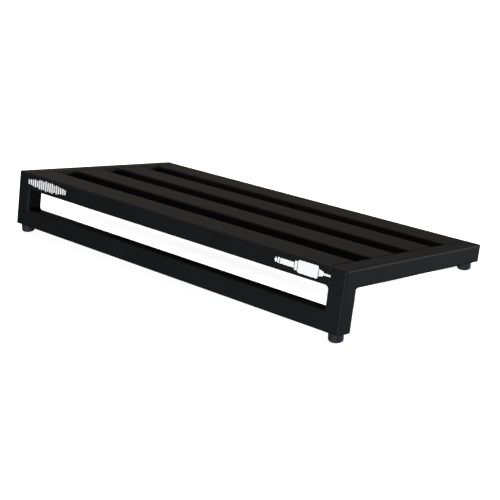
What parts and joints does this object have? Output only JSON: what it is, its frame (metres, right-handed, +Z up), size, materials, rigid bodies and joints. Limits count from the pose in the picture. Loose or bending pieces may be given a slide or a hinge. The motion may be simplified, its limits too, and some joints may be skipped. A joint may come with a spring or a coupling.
{
  "type": "pedalboard",
  "caption": "Sloped metal pedalboard: slatted black deck on tall rear legs with an open rear window, and round rubber feet.",
  "frame": {"origin": "on the floor, at the centre of the board's bounding box", "axes": "+X to the player's right along the rails, +Y away from the player towards the tall edge, +Z up"},
  "size_m": [0.6096, 0.3264, 0.0924],
  "materials": {
    "frame_coat": "satin black powder coat with a fine texture",
    "plate_coat": "satin black powder coat over ground plates",
    "weld_coat": "satin black powder coat over weld beads",
    "foot_rubber": "moulded, matt",
    "zinc_steel": "zinc plated",
    "plain_aluminium": "plain turned",
    "white_ink": "screen-printed ink"
  },
  "bodies": {
    "root": {"rear_top_rail": "frame_coat", "rear_middle_rail": "frame_coat", "front_middle_rail": "frame_coat", "front_rail": "frame_coat", "rear_bottom_rail": "frame_coat", "left_side_rail": "frame_coat", "right_side_rail": "frame_coat", "left_leg": "frame_coat", "right_leg": "frame_coat", "left_front_plate": "plate_coat", "right_front_plate": "plate_coat", "left_leg_plate": "plate_coat", "right_leg_plate": "plate_coat", "left_rail_welds": "weld_coat", "right_rail_welds": "weld_coat", "left_knee_weld": "weld_coat", "right_knee_weld": "weld_coat", "left_window_welds": "weld_coat", "right_window_welds": "weld_coat", "rear_left_foot": "foot_rubber", "rear_right_foot": "foot_rubber", "front_left_foot": "foot_rubber", "front_right_foot": "foot_rubber", "rear_left_washer": "zinc_steel", "rear_right_washer": "zinc_steel", "front_left_washer": "zinc_steel", "front_right_washer": "zinc_steel", "rear_left_screw": "zinc_steel", "rear_right_screw": "zinc_steel", "front_left_screw": "zinc_steel", "front_right_screw": "zinc_steel", "rear_left_rivet_nut": "plain_aluminium", "rear_right_rivet_nut": "plain_aluminium", "front_left_rivet_nut": "plain_aluminium", "front_right_rivet_nut": "plain_aluminium", "wave_print": "white_ink", "plug_print": "white_ink"}
  },
  "joints": []
}
